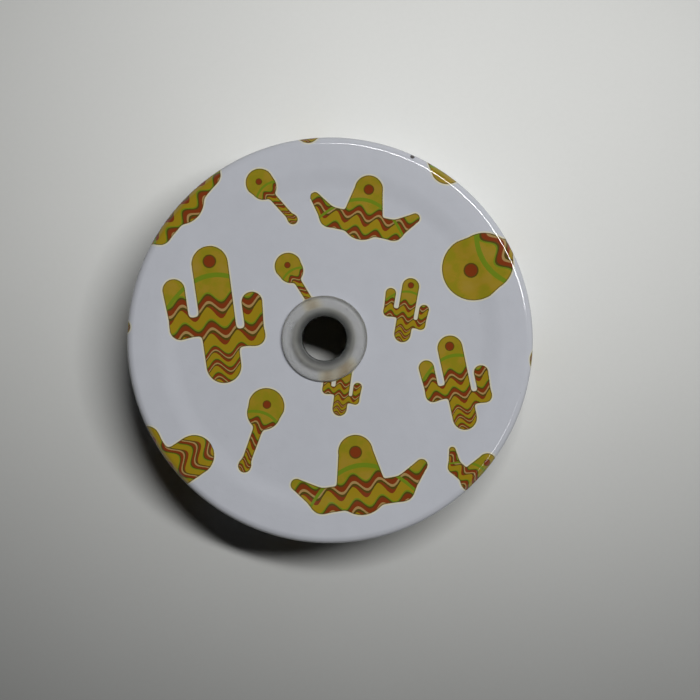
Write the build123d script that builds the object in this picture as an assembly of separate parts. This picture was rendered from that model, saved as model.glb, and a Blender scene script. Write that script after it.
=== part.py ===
from build123d import *
import os

# A printed tinplate screw lid for a 70 mm jar mouth, with a silicone straw grommet.
# Millimetres. Z = 0 is the surface that the curled edge stands on, +Z is up through the
# top of the lid, and the Z axis is the axis of the jar. The open side faces down.

# Drawn sheet, from the skirt in: rounded shoulder, raised land, sloping step, sunk panel
shell_diameter = 71.0
shell_height = 16.0
sheet = 0.25
shoulder_radius = 1.3
land_width = 4.3
step_width = 3.1
panel_recess = 0.5

# Curled bottom edge: its outside radius, and how far round the sheet is turned
curl_radius = 0.95
curl_turn = 290.0

# Rolled thread, one right-hand start: a groove outside and a ridge inside the skirt.
# Its round section is drawn with flat sides, one of them along the crest.
thread_pitch = 5.08
thread_turns = 1.15
thread_depth = 1.35
thread_groove_radius = 1.9
thread_sides = 12
thread_start_angle = 200.0
thread_runout = 14.0
curl_to_thread = 0.35

# Straw grommet, a little off the middle of the panel
grommet_x = -0.95
grommet_y = 0.3
grommet_diameter = 15.3
straw_bore_diameter = 7.7
bore_edge_round = 0.25
upper_flange = 1.4
upper_flange_round = 0.8
lower_flange = 1.4
lower_flange_round = 0.5
hole_diameter = 10.5
neck_clearance = 0.05

# Ring of sealing compound in the channel under the land
ring_thickness = 0.9
ring_bevel = 0.25
ring_inner_gap = 0.35
ring_outer_gap = 0.9

# Levels and radii that the pieces share
shell_radius = shell_diameter / 2
land_outer_radius = shell_radius - shoulder_radius
land_inner_radius = land_outer_radius - land_width
panel_radius = land_inner_radius - step_width
land_underside = shell_height - sheet
panel_top = shell_height - panel_recess
panel_underside = panel_top - sheet
grommet_top = panel_top + upper_flange
grommet_bottom = panel_underside - lower_flange
thread_start_height = 2 * curl_radius + curl_to_thread + sheet + thread_groove_radius

ON_BASE = (Align.CENTER, Align.CENTER, Align.MIN)


def disc(radius, bottom, top):
    """Upright cylinder on the Z axis between two levels."""
    return Pos(0, 0, bottom) * Cylinder(radius, top - bottom, align=ON_BASE)


def circles_by_size(shape):
    """The round edges of a shape in groups of one radius, the smallest first."""
    return shape.edges().filter_by(GeomType.CIRCLE).group_by(SortBy.RADIUS)


def outer_skin():
    """The sheet's outer face in section: panel, step, land, shoulder, skirt and curl."""
    with BuildLine() as skin:
        FilletPolyline(
            (0, panel_top),
            (panel_radius, panel_top),
            (land_inner_radius, shell_height),
            (shell_radius, shell_height),
            (shell_radius, curl_radius),
            radius=(0, 0, shoulder_radius),
        )
        CenterArc((shell_radius - curl_radius, curl_radius), curl_radius, 0, -curl_turn)
    return skin.line


def bar_section(helix, share, bar_radius):
    """Section of a bar square to the helix, with a flat towards the Z axis."""
    point = helix @ share
    plane = Plane(origin=point, x_dir=(point.X, point.Y, 0), z_dir=helix % share)
    turned = 180 / thread_sides
    return plane * RegularPolygon(bar_radius, thread_sides, major_radius=False, rotation=turned)


def bar_along_thread(bar_radius):
    """Bar on the thread's helix that runs straight out of the skirt at both ends."""
    helix_radius = shell_radius - thread_depth + thread_groove_radius
    helix = Helix(thread_pitch, thread_pitch * thread_turns, helix_radius)
    bar = sweep(bar_section(helix, 0, bar_radius), path=helix, is_frenet=True)
    bar += extrude(bar_section(helix, 0, bar_radius), -thread_runout)
    bar += extrude(bar_section(helix, 1, bar_radius), thread_runout)
    return Location((0, 0, thread_start_height), (0, 0, thread_start_angle)) * bar


def lid_shell():
    """Tinplate shell, drawn, curled and threaded, with the punched hole for the grommet."""
    section = offset(outer_skin(), amount=sheet, kind=Kind.INTERSECTION, side=Side.RIGHT)
    shell = revolve(Plane.XZ * make_face(section), Axis.Z)
    inside_skirt = disc(shell_radius - sheet / 2, 0, shell_height)
    ridge = bar_along_thread(thread_groove_radius + sheet) & inside_skirt
    groove = bar_along_thread(thread_groove_radius)
    hole = Pos(grommet_x, grommet_y) * disc(hole_diameter / 2, grommet_bottom, grommet_top)
    return shell + ridge - groove - hole


def straw_grommet():
    """Moulded silicone ring: a flange on each side of the panel, and the neck between."""
    grommet = disc(grommet_diameter / 2, panel_top, grommet_top)
    grommet += disc(grommet_diameter / 2, grommet_bottom, panel_underside)
    grommet += disc(hole_diameter / 2 - neck_clearance, panel_underside, panel_top)
    grommet -= disc(straw_bore_diameter / 2, grommet_bottom, grommet_top)
    grommet = fillet(circles_by_size(grommet)[0], bore_edge_round)
    grommet = fillet(circles_by_size(grommet)[-1].sort_by(Axis.Z)[-1], upper_flange_round)
    grommet = fillet(circles_by_size(grommet)[-1].sort_by(Axis.Z)[0], lower_flange_round)
    return Pos(grommet_x, grommet_y) * grommet


def sealing_ring():
    """Cast ring of sealing compound, flat where the rim of the jar meets it."""
    face = land_underside - ring_thickness
    ring = disc(land_outer_radius - ring_outer_gap, face, land_underside)
    ring -= disc(land_inner_radius + ring_inner_gap, face, land_underside)
    return chamfer(ring.edges().group_by(Axis.Z)[0], ring_bevel)


os.makedirs("parts", exist_ok=True)
for make_piece in (lid_shell, straw_grommet, sealing_ring):
    export_step(make_piece(), f"parts/{make_piece.__name__}.step")
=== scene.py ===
"""Looks of a printed tinplate straw lid for a mason jar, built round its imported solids.

Lengths are metres in the frame's own axes: Z = 0 is the surface that the curled edge
stands on and the Z axis is the axis of the jar. The print and the materials are laid out
in millimetres.
"""

import math

import bpy
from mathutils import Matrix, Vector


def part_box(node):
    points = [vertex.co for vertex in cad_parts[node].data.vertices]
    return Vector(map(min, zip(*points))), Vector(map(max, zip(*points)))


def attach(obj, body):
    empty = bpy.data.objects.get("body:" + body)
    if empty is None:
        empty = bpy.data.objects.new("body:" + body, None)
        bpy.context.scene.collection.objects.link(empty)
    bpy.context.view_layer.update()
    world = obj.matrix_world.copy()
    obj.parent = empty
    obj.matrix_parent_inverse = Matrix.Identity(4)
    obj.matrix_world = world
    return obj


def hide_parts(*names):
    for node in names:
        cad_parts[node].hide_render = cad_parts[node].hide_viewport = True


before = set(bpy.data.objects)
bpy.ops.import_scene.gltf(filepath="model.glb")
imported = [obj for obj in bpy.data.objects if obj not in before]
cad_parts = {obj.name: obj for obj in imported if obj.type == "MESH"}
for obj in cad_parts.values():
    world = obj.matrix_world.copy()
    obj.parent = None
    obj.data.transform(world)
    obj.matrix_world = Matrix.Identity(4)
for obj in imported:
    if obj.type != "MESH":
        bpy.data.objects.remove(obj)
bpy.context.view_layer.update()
SHELL_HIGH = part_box("lid_shell")[1]
GROMMET_LOW, GROMMET_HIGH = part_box("straw_grommet")
RING_LOW, RING_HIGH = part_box("sealing_ring")
MM = 0.001
QUARTER = math.pi / 2
LEVEL = (1.0, 1.0, 0.0)
WHITE = (1.0, 1.0, 1.0, 1.0)

# Vertices in each ring of a mesh, and the bend above which an edge is shaded sharp
STEPS = 256
RIM_SHARP = math.radians(40)

# Width (mm) of the square of flat sheet that the print map covers
PRINT_WIDTH = 120.0

bl_info = {
    "name": "Jar Straw Lid",
    "version": (1, 0, 0),
    "blender": (4, 5, 0),
    "location": "View3D > Sidebar > Straw Lid",
    "description": "Printed tinplate shell, silicone grommet and sealing ring of a jar lid",
    "category": "Object",
}

# Print layout: motif, place in the flat sheet (mm), height (mm) and turn (degrees)
CACTUS, MARACA, SOMBRERO = 0, 1, 2
PRINT_LAYOUT = (
    (CACTUS, -19.8, 4.8, 24.5, 8),
    (SOMBRERO, 6.0, 22.6, 19.0, -12),
    (MARACA, -10.0, 25.0, 12.0, 42),
    (MARACA, 31.5, 16.5, 27.0, 122),
    (CACTUS, 13.4, 5.4, 11.5, -10),
    (CACTUS, 22.2, -7.2, 17.0, 12),
    (SOMBRERO, 5.2, -24.2, 23.5, 9),
    (CACTUS, 2.2, -8.2, 10.0, -8),
    (MARACA, -5.6, 10.2, 11.5, 32),
    (MARACA, -12.6, -15.6, 15.5, -20),
    (CACTUS, -32.5, -26.0, 28.0, 124),
    (SOMBRERO, -27.5, 25.5, 22.0, 50),
    (SOMBRERO, 25.8, -23.4, 13.0, -40),
    (MARACA, 18.5, 33.5, 14.0, -150),
    (MARACA, 20.5, -38.6, 15.0, 30),
    (CACTUS, 42.5, -4.0, 15.0, -96),
    (SOMBRERO, -8.0, -42.5, 15.0, 172),
    (CACTUS, -4.0, 41.5, 14.0, 2),
    (MARACA, -42.5, 3.0, 15.0, 84),
)

# Motifs one unit high, in the order of their numbers: name, softness where limbs join,
# level of the first wave, level of the dot, and limbs from (x, y) to (x, y) with the half
# width at each end
MOTIFS = (
    (
        "Cactus outline",
        0.05,
        0.12,
        0.37,
        (
            ((0.0, -0.38), (0.0, 0.35), 0.125, 0.13),
            ((0.0, -0.08), (-0.27, -0.08), 0.07, 0.07),
            ((-0.27, -0.08), (-0.28, 0.2), 0.07, 0.08),
            ((0.0, -0.2), (0.25, -0.2), 0.065, 0.065),
            ((0.25, -0.2), (0.26, 0.04), 0.065, 0.075),
        ),
    ),
    (
        "Maraca outline",
        0.06,
        0.12,
        0.3,
        (
            ((0.0, 0.2), (0.0, 0.28), 0.19, 0.205),
            ((0.0, 0.0), (0.0, -0.42), 0.055, 0.05),
            ((0.0, -0.44), (0.0, -0.43), 0.07, 0.07),
        ),
    ),
    (
        "Sombrero outline",
        0.03,
        0.02,
        0.2,
        (
            ((0.0, -0.08), (0.0, 0.2), 0.19, 0.13),
            ((-0.3, -0.12), (0.3, -0.12), 0.095, 0.095),
            ((-0.3, -0.12), (-0.47, 0.03), 0.09, 0.045),
            ((0.3, -0.12), (0.47, 0.03), 0.09, 0.045),
        ),
    ),
)

# Paint of the motifs, in shares of a motif's height. Bands lie closer in its lower part.
WAVE_LENGTH, WAVE_HEIGHT = 0.19, 0.034
BAND_PITCH, LOW_BAND_PITCH, LOW_BANDS_BELOW = 0.19, 0.095, 0.38
COLLAR_DROP, COLLAR_BOW, COLLAR_HALF_WIDTH = 0.1, 1.6, 0.017
DOT_RIM, DOT_MIDDLE = (0.052, 0.045), (0.043, 0.037)

# Shares of a band's pitch: where its plain ground starts, and how the red trough that
# hangs below it swings
GROUND_FROM = 0.53
TROUGH_DEPTH, TROUGH_SWING, TROUGH_LAG = 0.62, 0.12, 1.3

# Chip in the enamel on the rim (mm)
CHIP_RADIUS, CHIP_ANGLE, CHIP_LEVEL = 35.0, math.radians(65.8), 15.5

# Rings of the panel from the punched hole out: gap from the hole's edge (mm), and the
# share of the hole's offset that the ring keeps, then radii (mm) of the rings beyond
HOLE_RINGS = ((0, 1), (0.35, 1), (1.35, 1), (2.55, 1), (4.35, 0.5), (6.75, 0))
PANEL_RINGS = (15, 18, 21, 24)

# Angle past an end of the thread at which its groove has left the skirt, and the share of
# the lip that its softness leaves far from the groove
THREAD_END = 0.35
LIP_TAIL = 0.06

# Pool of light painted into the table's colour (mm): its narrowing in X, its shift and its
# reach, and the distances between which the table turns pale
POOL_STRETCH, POOL_SHIFT, POOL_REACH = (0.8, 1.0, 0.0), (-11.0, -40.0, 0.0), 160.0
PALE_FROM, PALE_AT = 90.0, 150.0


def length(name, description, default):
    return bpy.props.FloatProperty(
        name=name, description=description, default=default, unit="LENGTH", precision=5
    )


def degrees(name, description, default):
    return bpy.props.FloatProperty(
        name=name, description=description, default=math.radians(default), subtype="ANGLE"
    )


def number(name, description, default):
    return bpy.props.FloatProperty(name=name, description=description, default=default)


def position(name, description, default):
    return bpy.props.FloatVectorProperty(
        name=name,
        description=description,
        default=default,
        size=len(default),
        unit="LENGTH",
        precision=5,
    )


def colour(name, description, default):
    return bpy.props.FloatVectorProperty(
        name=name, description=description, default=default, size=3, subtype="COLOR", min=0, max=1
    )


class LidShellSettings(bpy.types.PropertyGroup):
    """Sizes of the drawn sheet, from the straw hole out, and its finishes."""

    radius: length("Outside radius", "Half the width of the lid", SHELL_HIGH.x)
    height: length("Height", "Level of the raised land", SHELL_HIGH.z)
    sheet: length("Sheet", "Thickness of the tinplate", 0.25 * MM)
    hole_radius: length("Hole radius", "Radius of the punched hole", 5.25 * MM)
    panel_recess: length("Panel recess", "Depth of the middle panel", 0.5 * MM)
    panel_radius: length("Panel radius", "Where the step to the land starts", 26.1 * MM)
    land_radius: length("Land radius", "Where the step to the land ends", 30.5 * MM)
    shoulder_radius: length("Shoulder radius", "Bend from land to skirt", 1.3 * MM)
    curl_radius: length("Curl radius", "Outside radius of the curled edge", 0.95 * MM)
    curl_turn: degrees("Curl turn", "How far round the edge is curled", 290)
    enamel: colour("Enamel", "White enamel under the print", (0.52, 0.535, 0.58))
    lacquer: colour("Lacquer", "Gold food lacquer on the inside", (0.78, 0.66, 0.4))


class ThreadSettings(bpy.types.PropertyGroup):
    """The groove that is rolled into the skirt."""

    pitch: length("Pitch", "Rise of the thread in one turn", 5.08 * MM)
    turns: number("Turns", "Length of the full-depth thread", 1.15)
    depth: length("Depth", "Depth of the groove", 1.35 * MM)
    groove_radius: length("Groove radius", "Radius of the groove's section", 1.9 * MM)
    start_level: length("Start level", "Height at which the thread starts", 4.4 * MM)
    start_angle: degrees("Start angle", "Where the full-depth thread starts", 200)
    lip: length("Lip", "Softness of the bend at the groove's edges", 0.3 * MM)


class PrintSettings(bpy.types.PropertyGroup):
    """Inks of the printed motifs."""

    mustard: colour("Mustard", "Ground of the motifs", (0.31, 0.212, 0.004))
    red: colour("Red", "Broad waves and dots", (0.2, 0.032, 0.002))
    green: colour("Green", "Collars and thin waves", (0.15, 0.225, 0.006))
    olive: colour("Dark olive", "Outlines of waves and motifs", (0.08, 0.055, 0.002))
    tan: colour("Tan", "Thin light waves", (0.37, 0.24, 0.085))
    cream: colour("Cream", "Thin edge round each motif", (0.66, 0.63, 0.47))


class GrommetSettings(bpy.types.PropertyGroup):
    """Sizes of the moulded grommet and its silicone."""

    place: position(
        "Place", "Middle of the straw hole", ((GROMMET_LOW + GROMMET_HIGH) / 2).xy
    )
    radius: length("Flange radius", "Half the width of the flanges", 7.5 * MM)
    bore_radius: length("Bore radius", "Half the width of the straw hole", 3.85 * MM)
    neck_radius: length("Neck radius", "Radius between the flanges", 5.2 * MM)
    top: length("Top", "Level of the upper face", GROMMET_HIGH.z)
    bottom: length("Bottom", "Level of the lower face", GROMMET_LOW.z)
    top_round: length("Upper round", "Round on the upper flange", 1.0 * MM)
    bottom_round: length("Lower round", "Round on the lower flange", 0.5 * MM)
    seat: length("Seat", "Hair of air between flange and sheet", 0.02 * MM)
    bore_round: length("Bore round", "Round on the edges of the bore", 0.25 * MM)
    silicone: colour("Silicone", "Milky body of the silicone", (0.5, 0.5, 0.465))
    # Painted shade: the dark colour of the silicone over the open neck, where no sheet lies under
    # it
    shade: colour("Shade", "Silicone where no sheet lies under it", (0.05, 0.053, 0.05))


class SealingRingSettings(bpy.types.PropertyGroup):
    """Sizes of the cast ring and its compound."""

    inner_radius: length("Inner radius", "Inner edge of the ring", 30.25 * MM)
    outer_radius: length("Outer radius", "Outer edge of the ring", RING_HIGH.x)
    face: length("Face level", "Level of the face that meets the jar", RING_LOW.z)
    back: length("Back level", "Level of the face on the sheet", RING_HIGH.z)
    edge: length("Edge round", "Round on the edges of the ring", 0.28 * MM)
    dent: length("Dent", "Depth that the jar has pressed into the ring", 0.08 * MM)
    compound: colour("Compound", "Colour of the sealing compound", (0.62, 0.59, 0.5))


class StageSettings(bpy.types.PropertyGroup):
    """Table, lamp, room and camera."""

    camera_place: position(
        "Camera place", "Where the camera looks straight down from", (3.5 * MM, -1.7 * MM, 0.3647)
    )
    lens: number("Lens", "Focal length in millimetres", 102.86)
    table: colour("Table", "Matt pale table top", (0.82, 0.826, 0.802))
    lamp_power: number("Lamp power", "Strip lamp in watts", 4.6)
    lamp_place: position(
        "Lamp place", "Middle of the strip lamp, which faces down", (0.227, 0.179, 0.65)
    )
    lamp_length: length("Lamp length", "Length of the strip lamp", 0.475)
    lamp_width: length("Lamp width", "Width of the strip lamp", 0.065)
    lamp_turn: degrees("Lamp turn", "Direction that the strip lamp runs in", -20)
    ambient: number("Ambient", "Strength of the light from all round", 0.004)
    room: number("Room", "How pale the room looks at eye level", 0.75)
    overhead: number("Overhead", "How pale the room looks in gloss overhead", 0.13)
    glint: number("Glint", "Strength of the small bright patch that gloss sees", 12.0)
    glint_way: bpy.props.FloatVectorProperty(
        name="Glint way",
        description="Direction of the small bright patch",
        default=(0.3485, -0.2094, 0.9136),
        size=3,
        subtype="DIRECTION",
    )


# Shader nodes


def feed(tree, source, socket):
    """Links a node or socket to an input, or sets the input's own value."""
    if isinstance(source, bpy.types.Node):
        source = source.outputs[0]
    if isinstance(source, bpy.types.NodeSocket):
        tree.links.new(source, socket)
    elif source is not None:
        socket.default_value = source


def lay(tree, kind, *sources, **fields):
    """Adds a node, sets its fields, and feeds its inputs in their order."""
    node = tree.nodes.new(kind)
    for field, value in fields.items():
        setattr(node, field, value)
    for source, socket in zip(sources, node.inputs):
        feed(tree, source, socket)
    return node


def maths(tree, operation, *sources, clamp=False):
    return lay(tree, "ShaderNodeMath", *sources, operation=operation, use_clamp=clamp).outputs[0]


def between(tree, factor, low, high):
    """low where factor is 0 and high where it is 1."""
    return maths(tree, "MULTIPLY_ADD", factor, high - low, low)


def vectors(tree, operation, *sources):
    node = lay(tree, "ShaderNodeVectorMath", *sources, operation=operation)
    return node.outputs["Value" if operation in ("LENGTH", "DISTANCE", "DOT_PRODUCT") else "Vector"]


def scaled(tree, vector, factor):
    node = tree.nodes.new("ShaderNodeVectorMath")
    node.operation = "SCALE"
    feed(tree, vector, node.inputs["Vector"])
    feed(tree, factor, node.inputs["Scale"])
    return node.outputs["Vector"]


def blended(tree, factor, first, second, kind="RGBA"):
    """Mix of two colours, or of two vectors with kind VECTOR."""
    node = tree.nodes.new("ShaderNodeMix")
    node.data_type = kind
    suffix = {"RGBA": "Color", "VECTOR": "Vector"}[kind]
    inputs = {socket.identifier: socket for socket in node.inputs}
    outputs = {socket.identifier: socket for socket in node.outputs}
    feed(tree, factor, inputs["Factor_Float"])
    feed(tree, first, inputs["A_" + suffix])
    feed(tree, second, inputs["B_" + suffix])
    return outputs["Result_" + suffix]


def fade(tree, value, start, end, smooth=True):
    """0 where value is at start and 1 where it is at end."""
    node = tree.nodes.new("ShaderNodeMapRange")
    node.interpolation_type = "SMOOTHSTEP" if smooth else "LINEAR"
    for socket, source in zip(node.inputs, (value, start, end, 0.0, 1.0)):
        feed(tree, source, socket)
    return node.outputs["Result"]


def new_group(name, inputs, outputs):
    """A shader node group and its two ends. Sockets are given as name: kind."""
    tree = bpy.data.node_groups.new(name, "ShaderNodeTree")
    for direction, sockets in (("INPUT", inputs), ("OUTPUT", outputs)):
        for socket, kind in sockets.items():
            tree.interface.new_socket(
                name=socket, in_out=direction, socket_type="NodeSocket" + kind
            )
    return tree, tree.nodes.new("NodeGroupInput").outputs, tree.nodes.new("NodeGroupOutput").inputs


def use_group(tree, group, **sources):
    """Places a group. An input named Two Words is given as two_words."""
    node = tree.nodes.new("ShaderNodeGroup")
    node.node_tree = group
    for socket in node.inputs:
        feed(tree, sources.get(socket.name.lower().replace(" ", "_")), socket)
    return node


def limb_group():
    """Distance to a straight limb with round ends that may differ in width."""
    tree, given, result = new_group(
        "Limb distance",
        {"Point": "Vector", "From": "Vector", "To": "Vector", "Width": "Vector"},
        {"Distance": "Float"},
    )
    along = vectors(tree, "SUBTRACT", given["To"], given["From"])
    out = vectors(tree, "SUBTRACT", given["Point"], given["From"])
    reach = vectors(tree, "DOT_PRODUCT", along, along)
    share = maths(tree, "DIVIDE", vectors(tree, "DOT_PRODUCT", out, along), reach, clamp=True)
    away = vectors(tree, "DISTANCE", out, scaled(tree, along, share))
    width = lay(tree, "ShaderNodeSeparateXYZ", given["Width"]).outputs
    wider = maths(tree, "SUBTRACT", width[1], width[0])
    swell = maths(tree, "MULTIPLY_ADD", wider, share, width[0])
    feed(tree, maths(tree, "SUBTRACT", away, swell), result["Distance"])
    return tree


def motif_group(name, limb, limbs, blend):
    """Outline of a motif one unit high, from limbs of (x, y), (x, y), width, end width."""
    tree, given, result = new_group(name, {"Point": "Vector"}, {"Distance": "Float"})
    whole = None
    for start, end, width, end_width in limbs:
        part = use_group(
            tree,
            limb,
            point=given["Point"],
            **{"from": (*start, 0), "to": (*end, 0), "width": (width, end_width, 0)},
        )
        whole = part if whole is None else maths(tree, "SMOOTH_MIN", whole, part, blend)
    feed(tree, whole, result["Distance"])
    return tree


def nearest_group():
    """Keeps the nearer of two motifs: its own place, and its size, kind and gap."""
    tree, given, result = new_group(
        "Nearest motif",
        {
            "Point": "Vector",
            "Centre": "Vector",
            "Size": "Float",
            "Turn": "Float",
            "Kind": "Float",
            "Best Place": "Vector",
            "Best Facts": "Vector",
        },
        {"Place": "Vector", "Facts": "Vector"},
    )
    out = vectors(tree, "SUBTRACT", given["Point"], given["Centre"])
    spread = maths(tree, "MULTIPLY", given["Size"], 0.45)
    gap = maths(tree, "SUBTRACT", vectors(tree, "LENGTH", out), spread)
    best = lay(tree, "ShaderNodeSeparateXYZ", given["Best Facts"]).outputs
    nearer = maths(tree, "LESS_THAN", gap, best[2])
    turn = lay(tree, "ShaderNodeVectorRotate", rotation_type="Z_AXIS")
    feed(tree, out, turn.inputs["Vector"])
    feed(tree, given["Turn"], turn.inputs["Angle"])
    turn.invert = True
    place = scaled(tree, turn.outputs[0], maths(tree, "DIVIDE", 1.0, given["Size"]))
    facts = lay(tree, "ShaderNodeCombineXYZ", given["Size"], given["Kind"], gap)
    feed(tree, blended(tree, nearer, given["Best Place"], place, "VECTOR"), result["Place"])
    feed(tree, blended(tree, nearer, given["Best Facts"], facts, "VECTOR"), result["Facts"])
    return tree


def waves_group(inks):
    """Wavy bands, collar and dot on the mustard ground of a motif one unit high."""
    tree, given, result = new_group(
        "Painted waves",
        {"Point": "Vector", "Band Top": "Float", "Dot Level": "Float", "Grain": "Float"},
        {"Color": "Color"},
    )
    mustard, red, green, olive, tan = (
        (*ink, 1) for ink in (inks.mustard, inks.red, inks.green, inks.olive, inks.tan)
    )
    place = lay(tree, "ShaderNodeSeparateXYZ", given["Point"]).outputs
    swing = maths(tree, "MULTIPLY", place["X"], 2 * math.pi / WAVE_LENGTH)
    wave = maths(tree, "MULTIPLY", maths(tree, "SINE", swing), WAVE_HEIGHT)
    drop = maths(tree, "SUBTRACT", given["Band Top"], maths(tree, "ADD", place["Y"], wave))
    low = maths(tree, "GREATER_THAN", drop, LOW_BANDS_BELOW)
    pitch = between(tree, low, BAND_PITCH, LOW_BAND_PITCH)
    phase = maths(tree, "FRACT", maths(tree, "DIVIDE", drop, pitch))
    ramp = tree.nodes.new("ShaderNodeValToRGB")
    feed(tree, phase, ramp.inputs[0])
    stops = (
        (0.0, green),
        (0.06, olive),
        (0.14, red),
        (0.33, tan),
        (0.43, olive),
        (GROUND_FROM, mustard),
    )
    ramp.color_ramp.interpolation = "CONSTANT"
    while len(ramp.color_ramp.elements) < len(stops):
        ramp.color_ramp.elements.new(0.5)
    for element, (start, ink) in zip(ramp.color_ramp.elements, stops):
        element.position = start
        element.color = ink
    lag = maths(tree, "SINE", maths(tree, "ADD", swing, TROUGH_LAG))
    foot = maths(tree, "MULTIPLY_ADD", lag, TROUGH_SWING, TROUGH_DEPTH)
    below_band = maths(tree, "GREATER_THAN", phase, GROUND_FROM)
    trough = maths(tree, "MULTIPLY", below_band, maths(tree, "LESS_THAN", phase, foot))
    banded = blended(tree, trough, ramp, red)
    ground = blended(tree, maths(tree, "MULTIPLY", given["Grain"], 0.3), mustard, tan)
    greenish = maths(tree, "MULTIPLY", fade(tree, given["Grain"], 0.35, 0.0), 0.35)
    ground = blended(tree, greenish, ground, green)
    painted = blended(tree, maths(tree, "LESS_THAN", drop, 0.0), banded, ground)
    bow = maths(tree, "MULTIPLY", maths(tree, "MULTIPLY", place["X"], place["X"]), COLLAR_BOW)
    over_dot = maths(tree, "SUBTRACT", maths(tree, "ADD", place["Y"], bow), given["Dot Level"])
    off_collar = maths(tree, "ABSOLUTE", maths(tree, "ADD", over_dot, COLLAR_DROP))
    collar = maths(tree, "LESS_THAN", off_collar, COLLAR_HALF_WIDTH)
    painted = blended(tree, collar, painted, green)
    dot = lay(tree, "ShaderNodeCombineXYZ", 0.0, given["Dot Level"])
    away = vectors(tree, "DISTANCE", given["Point"], dot)
    painted = blended(tree, fade(tree, away, *DOT_RIM), painted, olive)
    painted = blended(tree, fade(tree, away, *DOT_MIDDLE), painted, red)
    feed(tree, painted, result["Color"])
    return tree


def tone_group():
    """Slightly uneven tone, as of ink, lacquer or a wiped table."""
    tree, given, result = new_group(
        "Uneven tone",
        {"Color": "Color", "Point": "Vector", "Scale": "Float", "Amount": "Float"},
        {"Color": "Color", "Grain": "Float"},
    )
    noise = tree.nodes.new("ShaderNodeTexNoise")
    feed(tree, given["Point"], noise.inputs["Vector"])
    feed(tree, given["Scale"], noise.inputs["Scale"])
    noise.inputs["Detail"].default_value = 4
    centred = maths(tree, "SUBTRACT", noise.outputs[0], 0.5)
    factor = maths(tree, "MULTIPLY_ADD", centred, given["Amount"], 1.0)
    feed(tree, scaled(tree, given["Color"], factor), result["Color"])
    feed(tree, noise.outputs[0], result["Grain"])
    return tree


def specks_group():
    """Sparse specks of dust: one in each cell, most of them too small to show."""
    tree, given, result = new_group(
        "Dust specks",
        {"Point": "Vector", "Scale": "Float", "Size": "Float"},
        {"Mask": "Float"},
    )
    cells = tree.nodes.new("ShaderNodeTexVoronoi")
    feed(tree, given["Point"], cells.inputs["Vector"])
    feed(tree, given["Scale"], cells.inputs["Scale"])
    chance = lay(tree, "ShaderNodeSeparateColor", cells.outputs["Color"]).outputs[0]
    size = maths(tree, "MULTIPLY", maths(tree, "POWER", chance, 4.0), given["Size"])
    near = maths(tree, "DIVIDE", cells.outputs["Distance"], maths(tree, "ADD", size, 0.0001))
    feed(tree, fade(tree, near, 1.0, 0.4), result["Mask"])
    return tree


def new_material(name):
    """A material with its shader and output, and its Object coordinates in millimetres."""
    material = bpy.data.materials.new(name)
    material.use_nodes = True
    tree = material.node_tree
    tree.nodes.clear()
    shader = tree.nodes.new("ShaderNodeBsdfPrincipled")
    output = tree.nodes.new("ShaderNodeOutputMaterial")
    tree.links.new(shader.outputs[0], output.inputs["Surface"])
    place = tree.nodes.new("ShaderNodeTexCoord").outputs["Object"]
    return material, tree, shader, scaled(tree, place, 1 / MM)


def bumped(tree, shader, height, distance):
    """Relief on a shader from a height mask, distance in metres."""
    bump = tree.nodes.new("ShaderNodeBump")
    bump.inputs["Strength"].default_value = 1.0
    bump.inputs["Distance"].default_value = distance
    feed(tree, height, bump.inputs["Height"])
    tree.links.new(bump.outputs[0], shader.inputs["Normal"])


def toned(tree, ink, point, scale, amount):
    """A colour made slightly uneven, and the grain that does it, as outputs of one group."""
    group = bpy.data.node_groups.get("Uneven tone") or tone_group()
    return use_group(tree, group, color=ink, point=point, scale=scale, amount=amount).outputs


def dusted(tree, ink, point, scale, size, cover, dust):
    """A colour with sparse specks of dust over it."""
    group = bpy.data.node_groups.get("Dust specks") or specks_group()
    mask = use_group(tree, group, point=point, scale=scale, size=size).outputs["Mask"]
    return blended(tree, maths(tree, "MULTIPLY", mask, cover), ink, (*dust, 1))


def flat_sheet(tree):
    """Place in the flat printed sheet, in millimetres from its middle."""
    flat = tree.nodes.new("ShaderNodeUVMap")
    flat.uv_map = "Print"
    width, corner = (PRINT_WIDTH,) * 3, (-PRINT_WIDTH / 2,) * 3
    sheet = vectors(tree, "MULTIPLY_ADD", flat.outputs[0], width, corner)
    return vectors(tree, "MULTIPLY", sheet, LEVEL)


def nearest_motif(tree, sheet):
    """Place inside the motif that is nearest to a point, and its size, kind and gap."""
    nearest = nearest_group()
    place, facts = (9.0, 9.0, 0.0), (1.0, 0.0, 999.0)
    for kind, x, y, size, turn in PRINT_LAYOUT:
        node = use_group(
            tree,
            nearest,
            point=sheet,
            centre=(x, y, 0.0),
            size=size,
            turn=math.radians(turn),
            kind=kind,
            best_place=place,
            best_facts=facts,
        )
        place, facts = node.outputs["Place"], node.outputs["Facts"]
    return place, facts


def printed_motifs(tree, sheet, inks, grain):
    """Distance (mm) to the outline of the nearest motif, and the paint inside it."""
    place, facts = nearest_motif(tree, sheet)
    facts = lay(tree, "ShaderNodeSeparateXYZ", facts).outputs
    limb = limb_group()
    edge, band_top, dot_level = 0.0, 0.0, 0.0
    for kind, (name, blend, top, dot, limbs) in enumerate(MOTIFS):
        outline = use_group(tree, motif_group(name, limb, limbs, blend), point=place)
        chosen = maths(tree, "COMPARE", facts["Y"], kind, 0.1)
        edge = maths(tree, "MULTIPLY_ADD", chosen, outline, edge)
        band_top = maths(tree, "MULTIPLY_ADD", chosen, top, band_top)
        dot_level = maths(tree, "MULTIPLY_ADD", chosen, dot, dot_level)
    paint = use_group(
        tree,
        waves_group(inks),
        point=place,
        band_top=band_top,
        dot_level=dot_level,
        grain=grain,
    )
    return maths(tree, "MULTIPLY", edge, facts["X"]), paint


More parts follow.
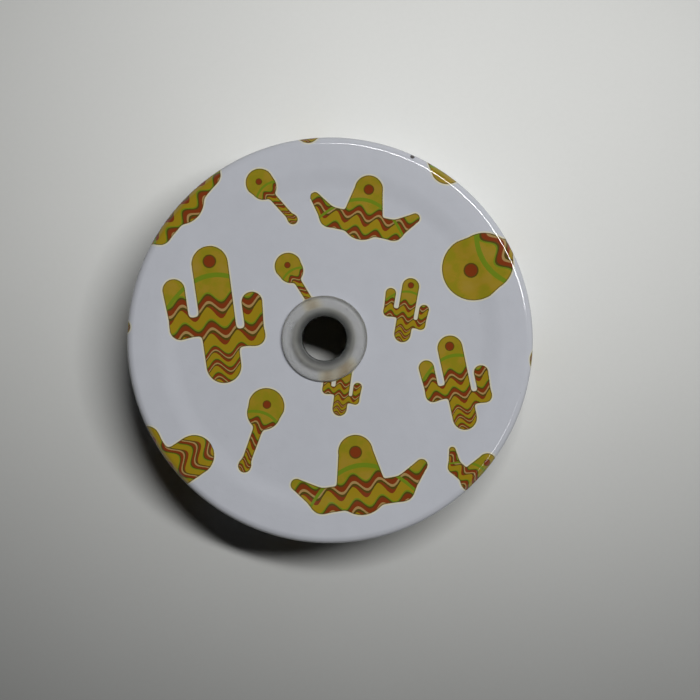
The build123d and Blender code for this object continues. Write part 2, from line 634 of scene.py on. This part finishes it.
def chip_mask(tree, place):
    """Ragged chip where the enamel has come off the rim."""
    x, y = CHIP_RADIUS * math.cos(CHIP_ANGLE), CHIP_RADIUS * math.sin(CHIP_ANGLE)
    away = vectors(tree, "DISTANCE", place, (x, y, CHIP_LEVEL))
    grain = toned(tree, WHITE, place, scale=2.5, amount=1.0)["Grain"]
    ragged = maths(tree, "ADD", away, between(tree, grain, -0.25, 0.25))
    return fade(tree, ragged, 0.5, 0.38)


def enamel_material(shell, inks, grommet):
    """White enamel with printed motifs; the print follows the sheet round the shoulder."""
    material, tree, shader, place = new_material("printed_enamel")
    sheet = flat_sheet(tree)
    mottled = toned(tree, WHITE, sheet, scale=0.35, amount=0.06)
    grain = fade(tree, mottled["Grain"], 0.3, 0.9)
    edge, paint = printed_motifs(tree, sheet, inks, grain)

    # Seen through the silicone, the print loses its waves, its outline and its sharp edge
    hole = (grommet.place[0] / MM, grommet.place[1] / MM, 0.0)
    rim = grommet.radius / MM
    under = fade(tree, vectors(tree, "DISTANCE", sheet, hole), rim + 0.25, rim - 0.15)
    blur = between(tree, under, 0.05, 1.15)
    mean_ink = tuple((a * 3 + b + c) / 5 for a, b, c in zip(inks.mustard, inks.red, inks.tan))
    paint = blended(tree, under, paint, (*mean_ink, 1))
    inside = fade(tree, edge, -0.22, -0.1)
    outline = maths(tree, "MULTIPLY", inside, between(tree, under, 0.75, 0.0))
    paint = blended(tree, outline, paint, (*inks.olive, 1))

    white = toned(tree, (*shell.enamel, 1), sheet, scale=0.09, amount=0.05)["Color"]
    halo = fade(tree, edge, maths(tree, "ADD", blur, 0.3), 0.14)
    ground = blended(tree, maths(tree, "MULTIPLY", halo, 0.9), white, (*inks.cream, 1))
    figure = fade(tree, edge, blur, maths(tree, "MULTIPLY", blur, -1.0))
    surface = blended(tree, figure, ground, paint)
    surface = vectors(tree, "MULTIPLY", surface, mottled["Color"])
    grey = (0.12, 0.12, 0.13)
    surface = dusted(tree, surface, place, scale=0.3, size=0.05, cover=0.55, dust=grey)
    chip = chip_mask(tree, place)
    surface = blended(tree, chip, surface, (0.1, 0.09, 0.085, 1))
    feed(tree, surface, shader.inputs["Base Color"])
    feed(tree, chip, shader.inputs["Metallic"])

    wiped = toned(tree, WHITE, place, scale=0.12, amount=1.0)["Grain"]
    gloss = fade(tree, wiped, 0.2, 0.9, smooth=False)
    feed(tree, between(tree, gloss, 0.07, 0.14), shader.inputs["Roughness"])
    ripple = toned(tree, WHITE, place, scale=0.5, amount=1.0)["Grain"]
    bumped(tree, shader, maths(tree, "SUBTRACT", ripple, chip), 0.04 * MM)
    return material


def lacquer_material(shell):
    """Gold food lacquer over rolled tinplate on the inside of the shell."""
    material, tree, shader, place = new_material("gold_lacquer")
    rolled = vectors(tree, "MULTIPLY", place, (0.15, 6.0, 1.0))
    body = toned(tree, (*shell.lacquer, 1), rolled, scale=1.0, amount=0.12)
    cloudy = toned(tree, body["Color"], place, scale=0.15, amount=0.2)
    feed(tree, cloudy["Color"], shader.inputs["Base Color"])
    shader.inputs["Metallic"].default_value = 0.85
    feed(tree, between(tree, body["Grain"], 0.24, 0.4), shader.inputs["Roughness"])
    bumped(tree, shader, body["Grain"], 0.008 * MM)
    return material


def silicone_material(grommet):
    """Milky silicone that shows the sheet under it, with painted shade over the open neck."""
    material, tree, shader, place = new_material("clear_silicone")
    middle = (grommet.place[0] / MM, grommet.place[1] / MM, 0.0)
    away = vectors(tree, "DISTANCE", vectors(tree, "MULTIPLY", place, LEVEL), middle)
    bore, neck, rim = grommet.bore_radius / MM, grommet.neck_radius / MM, grommet.radius / MM
    body = toned(tree, (*grommet.silicone, 1), place, scale=0.5, amount=0.12)
    # Painted shade: over the bore and the open neck, where no sheet lies under it, the colour goes
    # to the dark shade colour
    backed = fade(tree, away, bore + 0.25, neck + 0.8)
    surface = blended(tree, backed, (*grommet.shade, 1), body["Color"])
    pale = (0.7, 0.7, 0.68)
    surface = dusted(tree, surface, place, scale=0.5, size=0.07, cover=0.5, dust=pale)
    feed(tree, surface, shader.inputs["Base Color"])
    feed(tree, between(tree, body["Grain"], 0.3, 0.45), shader.inputs["Roughness"])

    # Neck and rim are the thick parts, and they block light more than they hide the sheet
    blocked = tree.nodes.new("ShaderNodeLightPath").outputs["Is Shadow Ray"]
    in_neck = fade(tree, away, neck + 0.65, neck - 0.35)
    at_rim = fade(tree, away, rim - 0.3, rim)
    alpha = between(tree, body["Grain"], 0.19, 0.29)
    alpha = maths(tree, "MULTIPLY_ADD", in_neck, between(tree, blocked, 0.5, 0.75), alpha)
    at_rim = maths(tree, "MULTIPLY", at_rim, between(tree, blocked, 0.3, 0.6))
    alpha = maths(tree, "ADD", at_rim, alpha, clamp=True)
    feed(tree, alpha, shader.inputs["Alpha"])
    shader.inputs["Subsurface Weight"].default_value = 0.7
    shader.inputs["Subsurface Radius"].default_value = (1.0, 1.0, 0.9)
    shader.inputs["Subsurface Scale"].default_value = 1.5 * MM
    shader.inputs["IOR"].default_value = 1.41
    bumped(tree, shader, body["Grain"], 0.01 * MM)
    return material


def compound_material(ring):
    """Matt sealing compound with a faint pebbled skin."""
    material, tree, shader, place = new_material("sealing_compound")
    body = toned(tree, (*ring.compound, 1), place, scale=0.4, amount=0.16)
    skin = toned(tree, body["Color"], place, scale=4.0, amount=0.08)
    brown = (0.25, 0.22, 0.17)
    surface = dusted(tree, skin["Color"], place, scale=0.4, size=0.08, cover=0.4, dust=brown)
    feed(tree, surface, shader.inputs["Base Color"])
    feed(tree, between(tree, body["Grain"], 0.42, 0.62), shader.inputs["Roughness"])
    bumped(tree, shader, skin["Grain"], 0.03 * MM)
    return material


# Meshes


def draw_rings(name, rings, closed=False):
    """Draws a round surface edge by edge: each ring is (x, y, radius, level)."""
    bpy.ops.object.select_all(action="DESELECT")
    x, y, radius, level = rings[0]
    bpy.ops.mesh.primitive_circle_add(vertices=STEPS, radius=radius, location=(x, y, level))
    piece = bpy.context.object
    piece.name = piece.data.name = name
    bpy.ops.object.transform_apply(location=True, rotation=True, scale=True)
    bpy.ops.object.mode_set(mode="EDIT")
    bpy.ops.mesh.select_all(action="SELECT")
    for start, end in zip(rings, rings[1:]):
        move = tuple(end[i] - start[i] for i in (0, 1, 3))
        bpy.ops.mesh.extrude_region_move(TRANSFORM_OT_translate={"value": move})
        grow = end[2] / start[2]
        middle = (end[0], end[1], end[3])
        bpy.ops.transform.resize(value=(grow, grow, 1), center_override=middle)
    if closed:
        bpy.ops.mesh.select_all(action="DESELECT")
        bpy.ops.mesh.select_mode(type="EDGE")
        bpy.ops.mesh.select_non_manifold()
        bpy.ops.mesh.bridge_edge_loops()
        bpy.ops.mesh.select_all(action="SELECT")
        bpy.ops.mesh.normals_make_consistent(inside=False)
    bpy.ops.object.mode_set(mode="OBJECT")
    return piece


def arc(middle, level, radius, start, turn, steps):
    """Points (radius, level) on an arc in the section, the first left out."""
    for i in range(1, steps + 1):
        angle = start + turn * i / steps
        yield middle + radius * math.cos(angle), level + radius * math.sin(angle)


def skin_rings(shell, grommet):
    """Rings of the sheet's outer face from the punched hole to the end of the curl."""
    panel = shell.height - shell.panel_recess
    rings = []
    for gap, shift in HOLE_RINGS:
        x, y = (shift * value for value in grommet.place)
        rings.append((x, y, shell.hole_radius + gap * MM, panel))
    section = [(radius * MM, panel) for radius in PANEL_RINGS]
    steps = 12
    for i in range(steps + 1):
        t = i / steps
        radius = shell.panel_radius + t * (shell.land_radius - shell.panel_radius)
        section.append((radius, panel + shell.panel_recess * t * t * (3 - 2 * t)))
    corner = shell.radius - shell.shoulder_radius
    section += [(0.5 * (shell.land_radius + corner), shell.height), (corner, shell.height)]
    bend = shell.height - shell.shoulder_radius
    section += arc(corner, bend, shell.shoulder_radius, QUARTER, -QUARTER, 14)
    steps = 50
    for i in range(1, steps + 1):
        section.append((shell.radius, bend + (shell.curl_radius - bend) * i / steps))
    middle = shell.radius - shell.curl_radius
    section += arc(middle, shell.curl_radius, shell.curl_radius, 0, -shell.curl_turn, 29)
    return rings + [(0, 0, radius, level) for radius, level in section]


def grommet_section(shell, grommet):
    """Section (radius, level) of the grommet, from the top of its bore round to the foot."""
    bore, neck, rim = grommet.bore_radius, grommet.neck_radius, grommet.radius
    top, bottom = grommet.top, grommet.bottom
    edge, upper, lower = grommet.bore_round, grommet.top_round, grommet.bottom_round
    panel = shell.height - shell.panel_recess + grommet.seat
    under = panel - shell.sheet - 2 * grommet.seat
    section = [(bore, top - edge)]
    section += arc(bore + edge, top - edge, edge, 2 * QUARTER, -QUARTER, 6)
    section += [(rim - 2 * upper, top), (rim - upper, top)]
    section += arc(rim - upper, top - upper, upper, QUARTER, -QUARTER, 10)
    section += [(rim, panel), (neck, panel), (neck, under)]
    section += [(rim, under), (rim, bottom + lower)]
    section += arc(rim - lower, bottom + lower, lower, 0, -QUARTER, 7)
    section += [(bore + 4 * edge, bottom), (bore + edge, bottom)]
    section += arc(bore + edge, bottom + edge, edge, -QUARTER, -QUARTER, 6)
    return section


def ring_section(ring):
    """Section (radius, level) of the sealing ring, open along its back on the sheet."""
    inner, outer = ring.inner_radius + ring.edge, ring.outer_radius - ring.edge
    section = [(ring.outer_radius, ring.back), (ring.outer_radius, ring.face + ring.edge)]
    section += arc(outer, ring.face + ring.edge, ring.edge, 0, -QUARTER, 5)
    steps = 12
    for i in range(1, steps):
        t = i / steps
        radius = outer + t * (inner - outer)
        section.append((radius, ring.face + ring.dent * math.sin(math.pi * t) ** 2))
    section.append((inner, ring.face))
    section += arc(inner, ring.face + ring.edge, ring.edge, -QUARTER, -QUARTER, 5)
    section.append((ring.inner_radius, ring.back))
    return section


def thread_depth(angle, level, shell, thread):
    """How far the rolled groove presses the skirt in at an angle and a level."""
    path = shell.radius - thread.depth + thread.groove_radius
    slope = thread.pitch / (2 * math.pi * path)
    full = 2 * math.pi * thread.turns
    first = (angle - thread.start_angle) % (2 * math.pi)
    deepest = 0.0
    for along in (first - 2 * math.pi, first, first + 2 * math.pi):
        past = max(-along, along - full, 0.0)
        if past > THREAD_END:
            continue
        nearest = min(max(along, 0.0), full)
        rise = slope * path * math.tan(past) * (1 if along > full else -1)
        middle = thread.start_level + thread.pitch * nearest / (2 * math.pi) + rise
        off = abs(level - middle)
        reach = thread.groove_radius**2 - off**2
        side = math.sqrt(reach) if reach > 0 else thread.groove_radius - off
        cut = side - (path / math.cos(past) - shell.radius)
        deepest = max(deepest, 0.5 * (cut + math.hypot(cut, thread.lip)))
    return max(deepest - LIP_TAIL * thread.lip, 0.0)


def roll_thread(mesh, shell, thread):
    """Presses the thread into the skirt, between the curl and the shoulder."""
    top = shell.height - shell.shoulder_radius
    for vertex in mesh.vertices:
        radius = math.hypot(vertex.co.x, vertex.co.y)
        if radius < shell.radius - 0.01 * MM:
            continue
        level = vertex.co.z
        near_end = min(level - shell.curl_radius, top - level) / MM
        if near_end <= 0:
            continue
        depth = thread_depth(math.atan2(vertex.co.y, vertex.co.x), level, shell, thread)
        depth *= min(near_end, 1.0)
        vertex.co.x *= (radius - depth) / radius
        vertex.co.y *= (radius - depth) / radius


def lay_print(mesh, rings):
    """Print map of the flat sheet: a ring drawn down the skirt came from further out."""
    reach = rings[0][2] ** 2
    flat = []
    previous = rings[0]
    for ring in rings:
        step = math.hypot(ring[2] - previous[2], ring[3] - previous[3])
        reach += (ring[2] + previous[2]) * step
        flat.append(math.sqrt(reach))
        previous = ring
    layer = mesh.uv_layers.new(name="Print")
    places = []
    for vertex in mesh.vertices:
        x, y, radius, level = rings[vertex.index // STEPS]
        if abs(vertex.co.z - level) > 0.01 * MM:
            raise RuntimeError("the rings of the sheet are out of order")
        scale = 1.0 if x or y else flat[vertex.index // STEPS] / radius
        places.append((vertex.co.x * scale, vertex.co.y * scale))
    for loop in mesh.loops:
        x, y = places[loop.vertex_index]
        layer.data[loop.index].uv = (0.5 + x / MM / PRINT_WIDTH, 0.5 + y / MM / PRINT_WIDTH)


class JARLID_OT_draw_shell(bpy.types.Operator):
    """Draws, threads, curls and prints the tinplate shell"""

    bl_idname = "jarlid.draw_shell"
    bl_label = "Tinplate shell"

    def execute(self, context):
        scene = context.scene
        shell, thread, grommet = scene.lid_shell, scene.lid_thread, scene.lid_grommet
        rings = skin_rings(shell, grommet)
        piece = draw_rings("printed_shell", rings)
        mesh = piece.data
        if mesh.polygons[0].normal.z < 0:
            bpy.ops.object.mode_set(mode="EDIT")
            bpy.ops.mesh.select_all(action="SELECT")
            bpy.ops.mesh.flip_normals()
            bpy.ops.object.mode_set(mode="OBJECT")
        lay_print(mesh, rings)
        roll_thread(mesh, shell, thread)
        mesh.materials.append(enamel_material(shell, scene.lid_print, grommet))
        mesh.materials.append(lacquer_material(shell))
        wall = piece.modifiers.new("Sheet", "SOLIDIFY")
        wall.thickness = shell.sheet
        wall.offset = -1
        wall.use_even_offset = True
        wall.material_offset = 1
        wall.material_offset_rim = 1
        bpy.ops.object.modifier_apply(modifier=wall.name)
        bpy.ops.object.shade_smooth_by_angle(angle=RIM_SHARP)
        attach(piece, "root")
        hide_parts("lid_shell")
        return {"FINISHED"}


class JARLID_OT_mould_grommet(bpy.types.Operator):
    """Moulds the silicone grommet round the straw hole"""

    bl_idname = "jarlid.mould_grommet"
    bl_label = "Straw grommet"

    def execute(self, context):
        shell, grommet = context.scene.lid_shell, context.scene.lid_grommet
        rings = [(*grommet.place, r, z) for r, z in grommet_section(shell, grommet)]
        piece = draw_rings("silicone_grommet", rings, closed=True)
        piece.data.materials.append(silicone_material(grommet))
        bpy.ops.object.shade_smooth_by_angle(angle=RIM_SHARP)
        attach(piece, "root")
        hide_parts("straw_grommet")
        return {"FINISHED"}


class JARLID_OT_cast_ring(bpy.types.Operator):
    """Casts the ring of sealing compound in the channel under the land"""

    bl_idname = "jarlid.cast_ring"
    bl_label = "Sealing ring"

    def execute(self, context):
        ring = context.scene.lid_ring
        rings = [(0, 0, r, z) for r, z in ring_section(ring)]
        piece = draw_rings("cast_sealing_ring", rings, closed=True)
        piece.data.materials.append(compound_material(ring))
        bpy.ops.object.shade_smooth_by_angle(angle=RIM_SHARP)
        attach(piece, "root")
        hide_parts("sealing_ring")
        return {"FINISHED"}


def table_material(stage):
    """Matt table top with a painted pool of light, whose far parts stay pale behind the lid."""
    material, tree, shader, place = new_material("table_top")
    # Painted light: the table's colour is full inside the pool and fades darker outside it
    pool = vectors(tree, "MULTIPLY_ADD", place, POOL_STRETCH, POOL_SHIFT)
    painted_light = fade(tree, vectors(tree, "LENGTH", pool), POOL_REACH, 0.0)
    top = scaled(tree, tuple(stage.table), between(tree, painted_light, 0.22, 0.995))
    body = toned(tree, top, place, scale=0.03, amount=0.05)["Color"]
    fine = toned(tree, body, place, scale=1.2, amount=0.03)["Color"]
    dark = (0.1, 0.1, 0.1)
    surface = dusted(tree, fine, place, scale=0.035, size=0.017, cover=0.6, dust=dark)
    feed(tree, surface, shader.inputs["Base Color"])
    shader.inputs["Roughness"].default_value = 0.75
    shader.inputs["Specular IOR Level"].default_value = 0.0

    # Far off, the table is as pale as the room, but lights nothing
    rays = tree.nodes.new("ShaderNodeLightPath").outputs
    seen = maths(tree, "ADD", rays["Is Camera Ray"], rays["Is Glossy Ray"], clamp=True)
    seen = maths(tree, "ADD", seen, rays["Is Transmission Ray"], clamp=True)
    far = fade(tree, vectors(tree, "LENGTH", place), PALE_FROM, PALE_AT)
    shader.inputs["Emission Color"].default_value = (0.74, 0.745, 0.73, 1)
    feed(tree, maths(tree, "MULTIPLY", seen, far), shader.inputs["Emission Strength"])

    # From below, the table is not there
    below = tree.nodes.new("ShaderNodeBsdfTransparent")
    sides = tree.nodes.new("ShaderNodeMixShader")
    feed(tree, tree.nodes.new("ShaderNodeNewGeometry").outputs["Backfacing"], sides.inputs[0])
    tree.links.new(shader.outputs[0], sides.inputs[1])
    tree.links.new(below.outputs[0], sides.inputs[2])
    tree.links.new(sides.outputs[0], tree.nodes["Material Output"].inputs["Surface"])
    return material


def hang_lamp(stage):
    """Strip lamp that faces down, its length turned from the X axis."""
    turn = (0, 0, stage.lamp_turn)
    bpy.ops.object.light_add(type="AREA", location=stage.lamp_place, rotation=turn)
    lamp = bpy.context.object
    lamp.name = "strip_lamp"
    lamp.data.shape = "RECTANGLE"
    lamp.data.size, lamp.data.size_y = stage.lamp_length, stage.lamp_width
    lamp.data.energy = stage.lamp_power


def room_world(stage):
    """Pale room that the camera and the gloss see, with hardly any light of its own."""
    world = bpy.data.worlds.new("pale_room")
    world.use_nodes = True
    tree = world.node_tree
    tree.nodes.clear()
    rays = tree.nodes.new("ShaderNodeLightPath").outputs
    way = tree.nodes.new("ShaderNodeTexCoord").outputs["Generated"]
    up = lay(tree, "ShaderNodeSeparateXYZ", way).outputs["Z"]
    shown = between(tree, fade(tree, up, 0.1, 0.75), stage.room, stage.overhead)
    toward = vectors(tree, "DOT_PRODUCT", way, tuple(stage.glint_way))
    patch = fade(tree, toward, 0.9965, 0.999)
    shown = maths(tree, "MULTIPLY_ADD", patch, stage.glint, shown)
    shown = maths(tree, "MULTIPLY", shown, rays["Is Glossy Ray"])
    seen = maths(tree, "ADD", rays["Is Camera Ray"], rays["Is Transmission Ray"], clamp=True)
    shown = maths(tree, "MULTIPLY_ADD", seen, stage.room, shown)
    strength = maths(tree, "ADD", shown, stage.ambient)
    light = lay(tree, "ShaderNodeBackground", (1.0, 1.0, 0.99, 1), strength)
    output = tree.nodes.new("ShaderNodeOutputWorld")
    tree.links.new(light.outputs[0], output.inputs["Surface"])
    return world


def hang_camera(stage):
    """Camera that looks straight down on the lid."""
    bpy.ops.object.camera_add(location=stage.camera_place, rotation=(0, 0, 0))
    camera = bpy.context.object
    camera.name = "camera_above"
    camera.data.sensor_width = 36
    camera.data.lens = stage.lens
    camera.data.clip_start = 0.01
    bpy.context.scene.camera = camera


class JARLID_OT_set_stage(bpy.types.Operator):
    """Lays the table, hangs the lamp and sets the room and the camera"""

    bl_idname = "jarlid.set_stage"
    bl_label = "Table, lamp and camera"

    def execute(self, context):
        stage = context.scene.lid_stage
        bpy.ops.object.select_all(action="DESELECT")
        bpy.ops.mesh.primitive_plane_add(size=6, location=(0, 0, 0))
        table = context.object
        table.name = "table_top"
        table.data.materials.append(table_material(stage))
        hang_lamp(stage)
        context.scene.world = room_world(stage)
        hang_camera(stage)
        context.scene.view_settings.view_transform = "Standard"
        return {"FINISHED"}


class JARLID_PT_pieces(bpy.types.Panel):
    """Lists the pieces of the lid and their settings"""

    bl_label = "Straw Lid"
    bl_idname = "JARLID_PT_pieces"
    bl_space_type = "VIEW_3D"
    bl_region_type = "UI"
    bl_category = "Straw Lid"

    def draw(self, context):
        for operator, groups in PIECES:
            box = self.layout.box()
            box.operator(operator.bl_idname)
            for name in groups:
                settings = getattr(context.scene, name)
                for field in settings.bl_rna.properties:
                    if field.identifier not in ("name", "rna_type"):
                        box.prop(settings, field.identifier)


SETTINGS = {
    "lid_shell": LidShellSettings,
    "lid_thread": ThreadSettings,
    "lid_print": PrintSettings,
    "lid_grommet": GrommetSettings,
    "lid_ring": SealingRingSettings,
    "lid_stage": StageSettings,
}
PIECES = (
    (JARLID_OT_draw_shell, ("lid_shell", "lid_thread", "lid_print")),
    (JARLID_OT_mould_grommet, ("lid_grommet",)),
    (JARLID_OT_cast_ring, ("lid_ring",)),
    (JARLID_OT_set_stage, ("lid_stage",)),
)
CLASSES = (*SETTINGS.values(), *(operator for operator, groups in PIECES), JARLID_PT_pieces)


def register():
    for cls in CLASSES:
        bpy.utils.register_class(cls)
    for name, group in SETTINGS.items():
        setattr(bpy.types.Scene, name, bpy.props.PointerProperty(type=group))


def unregister():
    for name in SETTINGS:
        delattr(bpy.types.Scene, name)
    for cls in reversed(CLASSES):
        bpy.utils.unregister_class(cls)


def main():
    register()
    bpy.ops.jarlid.draw_shell()
    bpy.ops.jarlid.mould_grommet()
    bpy.ops.jarlid.cast_ring()
    bpy.ops.jarlid.set_stage()


if __name__ == "__main__":
    main()
